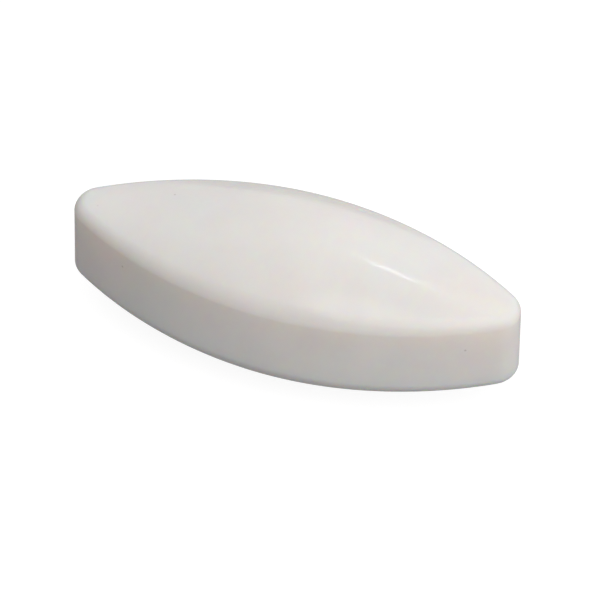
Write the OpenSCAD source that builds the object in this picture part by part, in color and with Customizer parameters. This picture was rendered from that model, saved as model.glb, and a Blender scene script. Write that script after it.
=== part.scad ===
// Magnetic stir bar: a rod magnet sealed inside a lens-shaped PTFE jacket.
//
// Seen from above, two shallow arcs meet in a small rounded nose at each end. The side wall is
// a straight vertical band. Above and below it the jacket is crowned: every section across the
// bar has the same crown radius, so the crown is highest in the middle and fades out towards
// the noses. A smooth rounding joins the crown to the band.
//
// Millimetres. +X runs along the bar and +Z is up. The origin is the point under the middle of
// the bar where the lower crown touches the table.

/* [Jacket] */
// Length of the bar over both noses
bar_length = 50; // [46:0.5:60]
// Width across the middle
bar_width = 19; // [16:0.5:22]
// Height of the side band, from one crown's edge to the other
band_height = 9.6; // [8:0.2:14]
// Rise of each crown above the band, at the middle
crown_rise = 3.6; // [0.6:0.2:4]
// Radius of the rounding between band and crown
edge_radius = 1.8; // [1:0.1:2.5]
// Radius of the nose at each end, seen from above
nose_radius = 3; // [2.7:0.1:4]

/* [Magnet] */
// Diameter of the rod magnet
magnet_diameter = 8; // [5:0.5:9]
// Length of the rod magnet
magnet_length = 28; // [16:1:32]
// Bevel on the rim of each end of the magnet
magnet_bevel = 0.5; // [0.2:0.1:1]
// Clearance between the magnet and the pocket moulded round it
pocket_clearance = 0.02; // [0.01:0.01:0.1]

/* [Fineness] */
// Facets along each long arc of the outline
arc_steps = 40; // [24:2:64]
// Facets round each quarter of a nose
nose_steps = 4; // [3:1:8]
// Facets in the rounding between band and crown
edge_steps = 6; // [4:1:8]
// Facets across a crown
crown_steps = 12; // [8:2:16]

/* [Hidden] */

ptfe_white = [0.93, 0.92, 0.90];
magnet_grey = [0.36, 0.36, 0.38];

// Outline: each long arc is tangent to the nose circles, which fixes its radius. arc_offset is
// how far its centre lies beyond the bar's axis, and arc_sweep the angle from its middle to its end.
half_width = bar_width / 2;
nose_centre = bar_length / 2 - nose_radius;
arc_radius = (pow(nose_centre, 2) + pow(half_width, 2) - pow(nose_radius, 2))
    / (2 * (half_width - nose_radius));
arc_offset = arc_radius - half_width;
arc_sweep = atan(nose_centre / arc_offset);

// Crown: the arc of this radius rises by crown_rise over the full width.
crown_radius = (pow(half_width, 2) + pow(crown_rise, 2)) / (2 * crown_rise);
bar_height = band_height + 2 * crown_rise;

// Directions in which the outline faces, once round the bar. They start at the +X nose, and the
// second half repeats the first turned by 180 degrees, so every station has a twin across the bar.
half_turn = concat(
    [for (i = [0:nose_steps - 1]) (90 - arc_sweep) * i / nose_steps],
    [for (i = [0:arc_steps - 1]) 90 - arc_sweep + 2 * arc_sweep * i / arc_steps],
    [for (i = [0:nose_steps - 1]) 90 + arc_sweep + (90 - arc_sweep) * i / nose_steps]
);
facings = concat(half_turn, [for (facing = half_turn) facing + 180]);
half_stations = len(half_turn);
stations = len(facings);
levels = edge_steps + 1;

// The point of the outline that faces the given way, moved inwards by inset.
function outline_point(facing, inset) =
    abs(cos(facing)) < sin(arc_sweep)
        ? [
            (arc_radius - inset) * cos(facing),
            (arc_radius - inset) * sin(facing) - sign(sin(facing)) * arc_offset
        ]
        : [
            (nose_radius - inset) * cos(facing) + sign(cos(facing)) * nose_centre,
            (nose_radius - inset) * sin(facing)
        ];

// Half the width of the outline at a place along the bar.
function half_width_at(x) =
    abs(x) < arc_radius * sin(arc_sweep)
        ? sqrt(pow(arc_radius, 2) - x * x) - arc_offset
        : sqrt(max(0, pow(nose_radius, 2) - pow(abs(x) - nose_centre, 2)));

// Rise of the crown over its edge: zero all along the outline, crown_rise in the middle.
function crown_at(point) =
    sqrt(pow(crown_radius, 2) - pow(point.y, 2))
        - sqrt(pow(crown_radius, 2) - pow(half_width_at(point.x), 2));

// One ring of the upper rounding, from level 0 on the band to the last level at the crown.
function edge_ring(level) =
    let (
        turn = 90 * level / edge_steps,
        inset = edge_radius * (1 - cos(turn)),
        height = band_height / 2 - edge_radius * (1 - sin(turn))
    )
    [for (facing = facings)
        let (point = outline_point(facing, inset))
        [point.x, point.y, height + (level == 0 ? 0 : crown_at(point))]
    ];

// Points of the crown inside the last ring, row by row across the bar.
function crown_rows() =
    [for (station = [nose_steps:half_stations - nose_steps], step = [1:crown_steps - 1])
        let (
            rim = outline_point(facings[station], edge_radius),
            point = [rim.x, rim.y * (1 - 2 * step / crown_steps)]
        )
        [point.x, point.y, band_height / 2 + crown_at(point)]
    ];

function mirrored(points) = [for (point = points) [point.x, point.y, -point.z]];

function joined(lists) = [for (list = lists, item = list) item];

upper_edge = joined([for (level = [0:edge_steps]) edge_ring(level)]);
upper_crown = crown_rows();
jacket_points = concat(upper_edge, upper_crown, mirrored(upper_edge), mirrored(upper_crown));
half_count = len(upper_edge) + len(upper_crown);

// Number of a point on the upper half: on a ring, or on a crown row, whose two ends are on the
// last ring.
function ring_point(level, station) = level * stations + station % stations;

function crown_point(station, step) =
    step == 0 ? ring_point(edge_steps, station)
    : step == crown_steps ? ring_point(edge_steps, stations - station)
    : len(upper_edge) + (station - nose_steps) * (crown_steps - 1) + step - 1;

// A four-sided patch as two triangles. Its corners run clockwise as seen from outside.
function patch(a, b, c, d) = [[a, b, c], [a, c, d]];

// The last ring closes over each nose as a fan from its tip to the first crown row.
function nose_fan(tip, row, step_in) =
    concat(
        [for (station = [tip + step_in:step_in:row - step_in])
            [ring_point(edge_steps, tip), ring_point(edge_steps, station + step_in),
             ring_point(edge_steps, station)]],
        [for (station = [tip + step_in:step_in:row - step_in])
            [ring_point(edge_steps, tip), ring_point(edge_steps, stations - station),
             ring_point(edge_steps, stations - station - step_in)]],
        [for (step = [0:crown_steps - 1])
            [ring_point(edge_steps, tip), crown_point(row, step + 1), crown_point(row, step)]]
    );

function turned(faces) = [for (face = faces) [face[0], face[2], face[1]]];

upper_faces = joined([
    joined([for (level = [0:edge_steps - 1], station = [0:stations - 1])
        patch(
            ring_point(level, station), ring_point(level + 1, station),
            ring_point(level + 1, station + 1), ring_point(level, station + 1)
        )]),
    joined([for (station = [nose_steps:half_stations - nose_steps - 1], step = [0:crown_steps - 1])
        patch(
            crown_point(station, step), crown_point(station, step + 1),
            crown_point(station + 1, step + 1), crown_point(station + 1, step)
        )]),
    nose_fan(0, nose_steps, 1),
    turned(nose_fan(half_stations, half_stations - nose_steps, -1))
]);
lower_faces = [for (face = turned(upper_faces)) [for (corner = face) corner + half_count]];
band_faces = joined([for (station = [0:stations - 1])
    patch(
        ring_point(0, station), ring_point(0, station + 1),
        ring_point(0, station + 1) + half_count, ring_point(0, station) + half_count
    )]);

// The jacket's outside, with the middle of the bar at the origin.
module jacket_skin() {
    polyhedron(points = jacket_points, faces = concat(upper_faces, band_faces, lower_faces));
}

// The rod magnet lying along X, grown all round by the given amount.
module rod(growth) {
    radius = magnet_diameter / 2 + growth;
    reach = magnet_length / 2 + growth;
    rotate([0, 90, 0])
        rotate_extrude($fn = 64)
            polygon([
                [0, -reach], [radius - magnet_bevel, -reach], [radius, magnet_bevel - reach],
                [radius, reach - magnet_bevel], [radius - magnet_bevel, reach], [0, reach]
            ]);
}

// The seamless jacket, with the closed pocket that the magnet fills.
module ptfe_jacket() {
    color(ptfe_white)
        translate([0, 0, bar_height / 2])
            difference() {
                jacket_skin();
                rod(pocket_clearance);
            }
}

module bar_magnet() {
    color(magnet_grey)
        translate([0, 0, bar_height / 2])
            rod(0);
}

ptfe_jacket();
bar_magnet();
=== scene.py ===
import math

import bpy
from mathutils import Matrix, Vector


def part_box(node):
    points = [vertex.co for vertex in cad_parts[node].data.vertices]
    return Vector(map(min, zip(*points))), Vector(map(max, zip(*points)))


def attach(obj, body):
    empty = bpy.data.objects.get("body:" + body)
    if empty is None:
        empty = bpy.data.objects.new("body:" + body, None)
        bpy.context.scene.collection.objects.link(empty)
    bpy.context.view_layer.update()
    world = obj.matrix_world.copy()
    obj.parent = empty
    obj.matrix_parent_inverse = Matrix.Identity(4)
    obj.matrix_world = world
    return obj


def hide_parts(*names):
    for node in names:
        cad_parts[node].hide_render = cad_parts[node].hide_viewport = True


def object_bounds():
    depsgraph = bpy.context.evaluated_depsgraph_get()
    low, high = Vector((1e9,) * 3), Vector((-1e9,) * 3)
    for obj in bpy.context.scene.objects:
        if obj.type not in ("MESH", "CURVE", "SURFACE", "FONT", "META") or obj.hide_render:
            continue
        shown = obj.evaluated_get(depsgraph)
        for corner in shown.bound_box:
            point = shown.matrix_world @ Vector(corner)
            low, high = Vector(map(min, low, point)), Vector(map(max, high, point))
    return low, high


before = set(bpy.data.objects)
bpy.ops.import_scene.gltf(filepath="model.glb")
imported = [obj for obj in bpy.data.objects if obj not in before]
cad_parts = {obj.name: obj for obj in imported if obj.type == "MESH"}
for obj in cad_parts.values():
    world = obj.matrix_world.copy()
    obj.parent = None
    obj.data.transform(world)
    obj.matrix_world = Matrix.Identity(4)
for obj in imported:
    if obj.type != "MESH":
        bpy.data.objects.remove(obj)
cad_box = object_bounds()

# --- PTFE jacket -------------------------------------------------------------------------------
# The whole outside of the bar, pressed round the magnet from PTFE powder and sintered into one
# seamless waxy-white piece: two shallow arcs seen from above, a straight side band, and a crown
# above and below that blends into the band through a soft rounding.

jacket_low, jacket_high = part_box("ptfe_jacket")
bar_length, bar_width, bar_height = jacket_high - jacket_low
crown_rise = 0.0036
edge_radius = 0.0012
nose_radius = 0.003
pocket_clearance = 0.00002
jacket_sizes = {
    "length": bar_length,
    "width": bar_width,
    "height": bar_height,
    "crown rise": crown_rise,
    "edge radius": edge_radius,
    "nose radius": nose_radius,
    "clearance": pocket_clearance,
}
steps_along = 180
steps_across = 120
nose_share = 0.08  # share of the steps along that each nose takes
crown_share = 0.5  # shares of half the steps across: the crown, then the rounding, then the band
rounding_share = 0.4
weld_distance = 0.00000005
quarter_turn = math.pi / 2

cloud_scale = 160.0  # features per metre, like the other scales of the texture
cloud_range = (0.35, 0.65)  # noise values at which the white is dimmest and brightest
dim_white = (0.826, 0.8, 0.777, 1.0)
bright_white = (0.851, 0.825, 0.802, 1.0)
speck_cell_scale = 420.0
speck_draw = 0.6  # a cell has a speck where its random draw is above this
speck_edge = 0.07  # distances from the middle of the cell, as shares of a cell
speck_core = 0.03
speck_strength = 0.4
speck_colour = (0.35, 0.30, 0.26, 1.0)
grain_scale = 2600.0
wave_scale = 420.0
wave_share = 1.5  # height of the waves against the grain's
grain_height = 0.000008
polish_ends = 0.015  # distances from the bar's middle
dull_starts = 0.019
least_roughness = 0.05
grain_roughness = 0.1
nose_roughness = 0.13
ptfe_ior = 1.35
scatter_weight = 0.7
scatter_radius = (1.0, 0.55, 0.25)  # red goes deepest
scatter_scale = 0.006


class Term:
    """A number in a node tree. Arithmetic on it adds Math nodes to that tree."""

    def __init__(self, tree, socket):
        self.tree = tree
        self.socket = socket

    def math(self, operation, *others):
        node = self.tree.nodes.new("ShaderNodeMath")
        node.operation = operation
        for slot, value in zip(node.inputs, (self, *others)):
            if isinstance(value, Term):
                self.tree.links.new(value.socket, slot)
            else:
                slot.default_value = value
        return Term(self.tree, node.outputs[0])

    def __add__(self, other):
        return self.math("ADD", other)

    def __sub__(self, other):
        return self.math("SUBTRACT", other)

    def __mul__(self, other):
        return self.math("MULTIPLY", other)

    def __truediv__(self, other):
        return self.math("DIVIDE", other)

    def squared(self):
        return self.math("MULTIPLY", self)

    def root(self):
        return self.math("MAXIMUM", 0.0).math("SQRT")

    def where(self, condition, otherwise):
        """This number where the condition is 1, and the other where it is 0."""
        return otherwise + condition * (self - otherwise)

    def share(self, start, end):
        """How far this number is on its way from start to end, from 0 to 1."""
        node = self.tree.nodes.new("ShaderNodeMapRange")
        self.tree.links.new(self.socket, node.inputs["Value"])
        node.inputs["From Min"].default_value = start
        node.inputs["From Max"].default_value = end
        return Term(self.tree, node.outputs["Result"])


def add_node(tree, kind, operation=None, **inputs):
    """Adds a node. An input is named with underscores for spaces and takes a value or a socket."""
    node = tree.nodes.new(kind)
    if operation:
        node.operation = operation
    for name, value in inputs.items():
        socket = node.inputs[name.replace("_", " ")]
        if isinstance(value, Term):
            value = value.socket
        if isinstance(value, bpy.types.NodeSocket):
            tree.links.new(value, socket)
        else:
            socket.default_value = value
    return node


def jacket_tree():
    """Geometry nodes for the jacket: the upper skin, its mirror image, and the magnet's pocket."""
    tree = bpy.data.node_groups.new("stir bar jacket", "GeometryNodeTree")
    for name in jacket_sizes:
        tree.interface.new_socket(name, in_out="INPUT", socket_type="NodeSocketFloat")
    for name in ("steps along", "steps across"):
        tree.interface.new_socket(name, in_out="INPUT", socket_type="NodeSocketInt")
    tree.interface.new_socket("magnet", in_out="INPUT", socket_type="NodeSocketObject")
    tree.interface.new_socket("material", in_out="INPUT", socket_type="NodeSocketMaterial")
    tree.interface.new_socket("jacket", in_out="OUTPUT", socket_type="NodeSocketGeometry")
    given = tree.nodes.new("NodeGroupInput")
    size = {name: Term(tree, given.outputs[name]) for name in jacket_sizes}

    # Seen from above, each long arc is tangent to the nose circles, which fixes its radius.
    half_width = size["width"] * 0.5
    nose = size["nose radius"]
    nose_centre = size["length"] * 0.5 - nose
    arc_radius = (nose_centre.squared() + half_width.squared() - nose.squared()) / (
        (half_width - nose) * 2.0
    )
    arc_offset = arc_radius - half_width
    arc_sweep = nose_centre.math("ARCTAN2", arc_offset)
    rise = size["crown rise"]
    crown_radius = (half_width.squared() + rise.squared()) / (rise * 2.0)
    band_top = size["height"] * 0.5 - rise

    # The sheet starts as a flat unit grid: along runs from nose to nose, across from side to side.
    grid = add_node(
        tree, "GeometryNodeMeshGrid", Size_X=1.0, Size_Y=1.0,
        Vertices_X=given.outputs["steps along"], Vertices_Y=given.outputs["steps across"],
    )
    place = tree.nodes.new("GeometryNodeInputPosition")
    parts = add_node(tree, "ShaderNodeSeparateXYZ", Vector=place.outputs[0])
    along = Term(tree, parts.outputs["X"]) + 0.5
    across = Term(tree, parts.outputs["Y"]) * 2.0
    side = across.math("SIGN")
    outward = across.math("ABSOLUTE")

    # facing is the way the outline faces, measured from the -X nose round to the +X nose.
    nose_turn = arc_sweep * -1.0 + quarter_turn
    facing = (
        nose_turn * along.share(0.0, nose_share)
        + arc_sweep * 2.0 * along.share(nose_share, 1.0 - nose_share)
        + nose_turn * along.share(1.0 - nose_share, 1.0)
    )
    facing_x = facing.math("COSINE") * -1.0
    facing_y = facing.math("SINE")

    # turn goes round the rounding: 0 on the band, a quarter turn at the crown.
    rounding_end = crown_share + rounding_share
    turn = (outward.share(crown_share, rounding_end) * -1.0 + 1.0) * quarter_turn
    inset = size["edge radius"] * (turn.math("COSINE") * -1.0 + 1.0)

    on_arc = facing_x.math("ABSOLUTE").math("LESS_THAN", arc_sweep.math("SINE"))
    arc_x = (arc_radius - inset) * facing_x
    arc_y = (arc_radius - inset) * facing_y - arc_offset
    nose_x = (nose - inset) * facing_x + nose_centre * facing_x.math("SIGN")
    nose_y = (nose - inset) * facing_y
    x = arc_x.where(on_arc, nose_x)
    y = arc_y.where(on_arc, nose_y) * outward.share(0.0, crown_share) * side

    # Every section across the bar has the same crown radius, so the crown fades towards the noses.
    beside_arc = x.math("ABSOLUTE").math("LESS_THAN", arc_radius * arc_sweep.math("SINE"))
    arc_half = (arc_radius.squared() - x.squared()).root() - arc_offset
    nose_half = (nose.squared() - (x.math("ABSOLUTE") - nose_centre).squared()).root()
    half_at_x = arc_half.where(beside_arc, nose_half)
    crown = (crown_radius.squared() - y.squared()).root() - (
        crown_radius.squared() - half_at_x.squared()
    ).root()
    rounding = band_top - size["edge radius"] * (turn.math("SINE") * -1.0 + 1.0)
    band_drop = (band_top - size["edge radius"]) * outward.share(rounding_end, 1.0)
    z = rounding - band_drop + crown

    sheet_place = add_node(tree, "ShaderNodeCombineXYZ", X=x, Y=y, Z=z)
    upper = add_node(
        tree, "GeometryNodeSetPosition",
        Geometry=grid.outputs["Mesh"], Position=sheet_place.outputs[0],
    )
    mirrored = add_node(
        tree, "GeometryNodeTransform", Geometry=upper.outputs[0], Scale=(1.0, 1.0, -1.0),
    )
    lower = add_node(tree, "GeometryNodeFlipFaces", Mesh=mirrored.outputs[0])
    skin = tree.nodes.new("GeometryNodeJoinGeometry")
    tree.links.new(upper.outputs[0], skin.inputs[0])
    tree.links.new(lower.outputs[0], skin.inputs[0])
    lift = add_node(tree, "ShaderNodeCombineXYZ", Z=size["height"] * 0.5)
    lifted = add_node(
        tree, "GeometryNodeSetPosition", Geometry=skin.outputs[0], Offset=lift.outputs[0],
    )
    welded = add_node(
        tree, "GeometryNodeMergeByDistance", Geometry=lifted.outputs[0], Distance=weld_distance,
    )
    smooth = add_node(tree, "GeometryNodeSetShadeSmooth", Geometry=welded.outputs[0])

    # The pocket lies round the magnet at the clearance, and faces into it.
    magnet = add_node(tree, "GeometryNodeObjectInfo", Object=given.outputs["magnet"])
    merged = add_node(
        tree, "GeometryNodeMergeByDistance",
        Geometry=magnet.outputs["Geometry"], Distance=weld_distance,
    )
    normal = tree.nodes.new("GeometryNodeInputNormal")
    grown = add_node(
        tree, "ShaderNodeVectorMath", "SCALE", Vector=normal.outputs[0], Scale=size["clearance"],
    )
    wall = add_node(
        tree, "GeometryNodeSetPosition", Geometry=merged.outputs[0], Offset=grown.outputs[0],
    )
    pocket = add_node(tree, "GeometryNodeFlipFaces", Mesh=wall.outputs[0])

    whole = tree.nodes.new("GeometryNodeJoinGeometry")
    tree.links.new(smooth.outputs[0], whole.inputs[0])
    tree.links.new(pocket.outputs[0], whole.inputs[0])
    real = add_node(tree, "GeometryNodeRealizeInstances", Geometry=whole.outputs[0])
    finished = add_node(
        tree, "GeometryNodeSetMaterial",
        Geometry=real.outputs[0], Material=given.outputs["material"],
    )
    result = tree.nodes.new("NodeGroupOutput")
    tree.links.new(finished.outputs[0], result.inputs[0])
    return tree


def made_from_tree(name, tree, values):
    """A plain mesh object of that name, made by a geometry tree with these input values."""
    source = bpy.data.objects.new(name + " source", bpy.data.meshes.new(name + " source"))
    bpy.context.scene.collection.objects.link(source)
    modifier = source.modifiers.new("form", "NODES")
    modifier.node_group = tree
    for item in tree.interface.items_tree:
        if item.item_type == "SOCKET" and item.name in values:
            modifier[item.identifier] = values[item.name]
    shapes = bpy.context.evaluated_depsgraph_get()
    mesh = bpy.data.meshes.new_from_object(source.evaluated_get(shapes), depsgraph=shapes)
    bpy.data.objects.remove(source)
    mesh.name = name
    made = bpy.data.objects.new(name, mesh)
    bpy.context.scene.collection.objects.link(made)
    return made


def ptfe_material():
    """Sintered PTFE: white, waxy and slightly see-through, with a fine grain and a few specks."""
    material = bpy.data.materials.new("sintered ptfe")
    material.use_nodes = True
    tree = material.node_tree
    surface = tree.nodes["Principled BSDF"]
    place = tree.nodes.new("ShaderNodeTexCoord").outputs["Object"]

    # Faint clouds in the white, a few millimetres across.
    cloud = add_node(tree, "ShaderNodeTexNoise", Vector=place, Scale=cloud_scale, Detail=3.0)
    white = add_node(tree, "ShaderNodeValToRGB", Fac=cloud.outputs["Fac"])
    for stop, position, shade in zip(
        white.color_ramp.elements, cloud_range, (dim_white, bright_white)
    ):
        stop.position = position
        stop.color = shade

    # Specks: a small dark fleck in the middle of a few cells.
    cells = add_node(tree, "ShaderNodeTexVoronoi", Vector=place, Scale=speck_cell_scale)
    draw = add_node(tree, "ShaderNodeSeparateColor", Color=cells.outputs["Color"])
    chosen = Term(tree, draw.outputs[0]).math("GREATER_THAN", speck_draw)
    core = Term(tree, cells.outputs["Distance"]).share(speck_edge, speck_core)
    flecked = add_node(tree, "ShaderNodeMix", Factor=chosen * core * speck_strength)
    flecked.data_type = "RGBA"
    tree.links.new(white.outputs["Color"], flecked.inputs[6])
    flecked.inputs[7].default_value = speck_colour
    tree.links.new(flecked.outputs[2], surface.inputs["Base Color"])

    # Pressed grain: a fine unevenness that softens a glint, with smoother and duller places. The
    # polish fades towards the noses.
    grain = add_node(tree, "ShaderNodeTexNoise", Vector=place, Scale=grain_scale, Detail=0.0)
    waves = add_node(tree, "ShaderNodeTexNoise", Vector=place, Scale=wave_scale, Detail=1.0)
    height = Term(tree, grain.outputs["Fac"]) + Term(tree, waves.outputs["Fac"]) * wave_share
    bump = add_node(tree, "ShaderNodeBump", Strength=1.0, Distance=grain_height, Height=height)
    tree.links.new(bump.outputs["Normal"], surface.inputs["Normal"])
    axes = add_node(tree, "ShaderNodeSeparateXYZ", Vector=place)
    at_nose = Term(tree, axes.outputs["X"]).math("ABSOLUTE").share(polish_ends, dull_starts)
    roughness = (
        Term(tree, grain.outputs["Fac"]) * grain_roughness
        + least_roughness
        + at_nose * nose_roughness
    )
    tree.links.new(roughness.socket, surface.inputs["Roughness"])

    surface.inputs["IOR"].default_value = ptfe_ior
    surface.inputs["Diffuse Roughness"].default_value = 1.0
    surface.inputs["Subsurface Weight"].default_value = scatter_weight
    surface.inputs["Subsurface Radius"].default_value = scatter_radius
    surface.inputs["Subsurface Scale"].default_value = scatter_scale
    return material


jacket = made_from_tree(
    "jacket_skin",
    jacket_tree(),
    {
        **jacket_sizes,
        "steps along": steps_along + 1,
        "steps across": steps_across + 1,
        "magnet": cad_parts["bar_magnet"],
        "material": ptfe_material(),
    },
)
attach(jacket, "root")
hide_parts("ptfe_jacket")

# --- Rod magnet --------------------------------------------------------------------------------
# A cast and ground AlNiCo rod, held by the jacket that was sintered round it. Nothing of it shows
# from outside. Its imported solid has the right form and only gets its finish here.

ring_scale = (9000.0, 120.0, 120.0)  # close along the rod, drawn out round it
ring_depth = 0.00001
casting_scale = 1400.0
casting_range = (0.4, 0.6)
dark_grey = (0.07, 0.07, 0.08, 1.0)
light_grey = (0.15, 0.15, 0.16, 1.0)


def alnico_material():
    """Ground AlNiCo: dull grey metal with fine grinding rings and darker casting grain."""
    material = bpy.data.materials.new("ground alnico")
    material.use_nodes = True
    tree = material.node_tree
    surface = tree.nodes["Principled BSDF"]
    place = tree.nodes.new("ShaderNodeTexCoord").outputs["Object"]
    stretch = add_node(tree, "ShaderNodeMapping", Vector=place, Scale=ring_scale)
    rings = add_node(tree, "ShaderNodeTexNoise", Vector=stretch.outputs[0], Scale=1.0, Detail=2.0)
    casting = add_node(tree, "ShaderNodeTexNoise", Vector=place, Scale=casting_scale, Detail=4.0)
    grey = add_node(tree, "ShaderNodeValToRGB", Fac=casting.outputs["Fac"])
    for stop, position, shade in zip(
        grey.color_ramp.elements, casting_range, (dark_grey, light_grey)
    ):
        stop.position = position
        stop.color = shade
    tree.links.new(grey.outputs["Color"], surface.inputs["Base Color"])
    bump = add_node(
        tree, "ShaderNodeBump", Strength=0.4, Distance=ring_depth, Height=rings.outputs["Fac"],
    )
    tree.links.new(bump.outputs["Normal"], surface.inputs["Normal"])
    surface.inputs["Metallic"].default_value = 0.9
    surface.inputs["Roughness"].default_value = 0.45
    return material


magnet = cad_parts["bar_magnet"]
magnet.data.materials.clear()
magnet.data.materials.append(alnico_material())

# --- Floor -------------------------------------------------------------------------------------
# A plain matt surface for the bar to rest on, far wider than the picture. It is lifted to white
# for the camera and keeps the bar's soft shadow.

floor_half = 3.0
floor_colour = (0.2, 0.2, 0.2, 1.0)
floor_lift = 0.9  # added for the camera, so that the lit floor reaches white
backdrop_in_gloss = 0.3  # share of its white that a gloss, metal or glass shows


def shows_backdrop(tree):
    """How far a ray sees the white backdrop: fully from the camera, partly in a gloss, else not."""
    path = tree.nodes.new("ShaderNodeLightPath")
    in_gloss = Term(tree, path.outputs["Is Glossy Ray"]).math(
        "MAXIMUM", Term(tree, path.outputs["Is Transmission Ray"])
    )
    from_camera = Term(tree, path.outputs["Is Camera Ray"])
    return (in_gloss * backdrop_in_gloss).math("MAXIMUM", from_camera)


def floor_material():
    """Matt grey that also glows by the lift wherever the backdrop shows."""
    material = bpy.data.materials.new("white floor")
    material.use_nodes = True
    tree = material.node_tree
    tree.nodes.clear()
    matt = add_node(tree, "ShaderNodeBsdfDiffuse", Color=floor_colour)
    glow = add_node(tree, "ShaderNodeEmission", Strength=shows_backdrop(tree) * floor_lift)
    both = tree.nodes.new("ShaderNodeAddShader")
    tree.links.new(matt.outputs[0], both.inputs[0])
    tree.links.new(glow.outputs[0], both.inputs[1])
    end = tree.nodes.new("ShaderNodeOutputMaterial")
    tree.links.new(both.outputs[0], end.inputs["Surface"])
    return material


floor_mesh = bpy.data.meshes.new("floor")
floor_mesh.from_pydata(
    [(x * floor_half, y * floor_half, 0.0) for x, y in ((-1, -1), (1, -1), (1, 1), (-1, 1))],
    [],
    [(0, 1, 2, 3)],
)
floor_mesh.materials.append(floor_material())
floor = bpy.data.objects.new("floor", floor_mesh)
bpy.context.scene.collection.objects.link(floor)

# --- Studio light ------------------------------------------------------------------------------
# Two round soft boxes and a pale room, brighter behind the bar and to its right. One small lamp
# behind the bar makes the narrow glint along the crown.

bar_centre = (cad_box[0] + cad_box[1]) / 2
lamps = {
    # Name: azimuth (from +Y towards +X) and elevation in degrees; distance, width and height in
    # metres; turn in degrees; watts; colour.
    "soft box front right": (135.0, 50.0, 0.42, 0.6, 0.6, 0.0, 1.6, (1.02, 1.0, 1.0)),
    "soft box left": (270.0, 50.0, 0.42, 0.6, 0.6, 0.0, 0.22, (1.0, 1.0, 1.0)),
    "glint lamp": (5.0, 57.5, 0.7, 0.1, 0.008, -22.0, 0.055, (1.0, 1.0, 1.0)),
}
for lamp_name, settings in lamps.items():
    azimuth, elevation, distance, width, height, turn, watts, colour = settings
    light = bpy.data.lights.new(lamp_name, "AREA")
    light.shape = "ELLIPSE"
    light.size = width
    light.size_y = height
    light.energy = watts
    light.color = colour
    flat = math.cos(math.radians(elevation))
    away = Vector(
        (
            math.sin(math.radians(azimuth)) * flat,
            math.cos(math.radians(azimuth)) * flat,
            math.sin(math.radians(elevation)),
        )
    )
    lamp = bpy.data.objects.new(lamp_name, light)
    facing_bar = away.to_track_quat("Z", "Y").to_matrix()
    rolled = facing_bar @ Matrix.Rotation(math.radians(turn), 3, "Z")
    lamp.matrix_world = Matrix.Translation(bar_centre + away * distance) @ rolled.to_4x4()
    lamp.visible_camera = False
    bpy.context.scene.collection.objects.link(lamp)

room_even = 0.12  # strength from all round
room_behind = 0.82  # what is added towards +Y
room_right = 0.31  # what is added towards +X
room_colour = (1.0, 1.0, 1.0, 1.0)
room = bpy.data.worlds.new("pale room")
bpy.context.scene.world = room
room.use_nodes = True
room_tree = room.node_tree
direction = add_node(
    room_tree, "ShaderNodeSeparateXYZ",
    Vector=room_tree.nodes.new("ShaderNodeTexCoord").outputs["Generated"],
)
behind = Term(room_tree, direction.outputs["Y"]).math("MAXIMUM", 0.0)
beside = Term(room_tree, direction.outputs["X"]).math("MAXIMUM", 0.0)
room_level = behind * room_behind + beside * room_right + room_even
room_light = room_tree.nodes["Background"]
room_light.inputs["Color"].default_value = room_colour
room_tree.links.new(room_level.socket, room_light.inputs["Strength"])
white_paper = add_node(room_tree, "ShaderNodeBackground", Color=(1.0, 1.0, 1.0, 1.0))
shown = add_node(room_tree, "ShaderNodeMixShader", Fac=shows_backdrop(room_tree))
room_tree.links.new(room_light.outputs[0], shown.inputs[1])
room_tree.links.new(white_paper.outputs[0], shown.inputs[2])
room_tree.links.new(shown.outputs[0], room_tree.nodes["World Output"].inputs["Surface"])

# --- Camera ------------------------------------------------------------------------------------
# A long lens above the bar's near side and a little to its right, everything in focus. It is set
# by where the bar's centre comes in the picture and how large a metre is there.

picture_side = 600  # pixels
centre_pixel = (296.0, 285.1)  # where the bar's centre comes in the picture
pixels_per_metre = 9407.0  # at the bar's centre
view_azimuth = math.radians(19.3)
view_elevation = math.radians(44.1)
view_roll = math.radians(0.95)
view_distance = 0.863
sensor = 36.0  # millimetres

back = Vector(
    (
        math.sin(view_azimuth) * math.cos(view_elevation),
        -math.cos(view_azimuth) * math.cos(view_elevation),
        math.sin(view_elevation),
    )
)
level = Vector((math.cos(view_azimuth), math.sin(view_azimuth), 0.0))
upright = back.cross(level)
right = level * math.cos(view_roll) + upright * math.sin(view_roll)
up = back.cross(right)
middle = picture_side / 2
aim = (
    bar_centre
    + right * ((middle - centre_pixel[0]) / pixels_per_metre)
    - up * ((middle - centre_pixel[1]) / pixels_per_metre)
)
camera = bpy.data.objects.new("camera", bpy.data.cameras.new("camera"))
camera.data.sensor_width = sensor
camera.data.lens = sensor * pixels_per_metre * view_distance / picture_side
camera.data.clip_start = 0.05
camera.data.clip_end = 20.0
turned = Matrix((right, up, back)).transposed().to_4x4()
camera.matrix_world = Matrix.Translation(aim + back * view_distance) @ turned
bpy.context.scene.collection.objects.link(camera)
bpy.context.scene.camera = camera

bpy.context.scene.view_settings.view_transform = "Standard"
